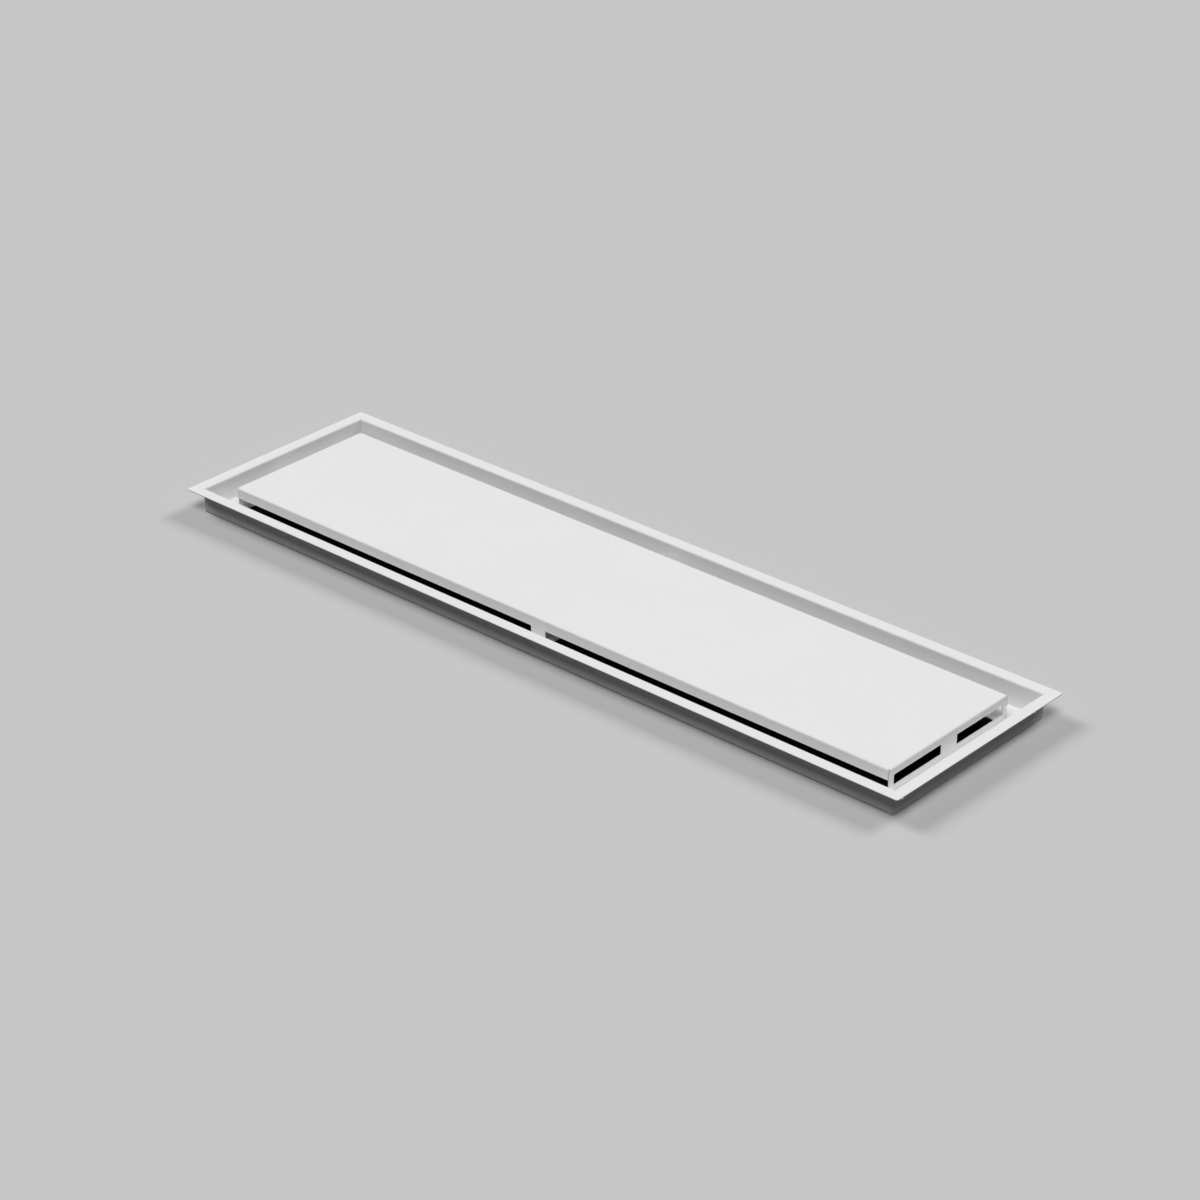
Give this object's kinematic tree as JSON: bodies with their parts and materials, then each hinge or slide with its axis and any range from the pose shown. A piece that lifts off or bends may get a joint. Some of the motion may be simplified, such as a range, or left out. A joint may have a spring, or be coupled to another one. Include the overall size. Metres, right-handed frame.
{
  "type": "ceiling vent cover",
  "caption": "Long rectangular ceiling vent cover: a flush face panel in a folded collar with a flange, with an air slot all round the panel.",
  "frame": {"origin": "middle of the cover in the plane of the ledge's underside, on which it rests face up", "axes": "+X along the length, +Y across the width, +Z out of the visible face, so the cover is fixed in a ceiling with -Z up"},
  "size_m": [1, 0.275, 0.029],
  "materials": {
    "white_powder_coat": "fine satin powder coat on folded sheet steel"
  },
  "bodies": {
    "root": {"outer_frame": "white_powder_coat", "cover_panel": "white_powder_coat"}
  },
  "joints": []
}
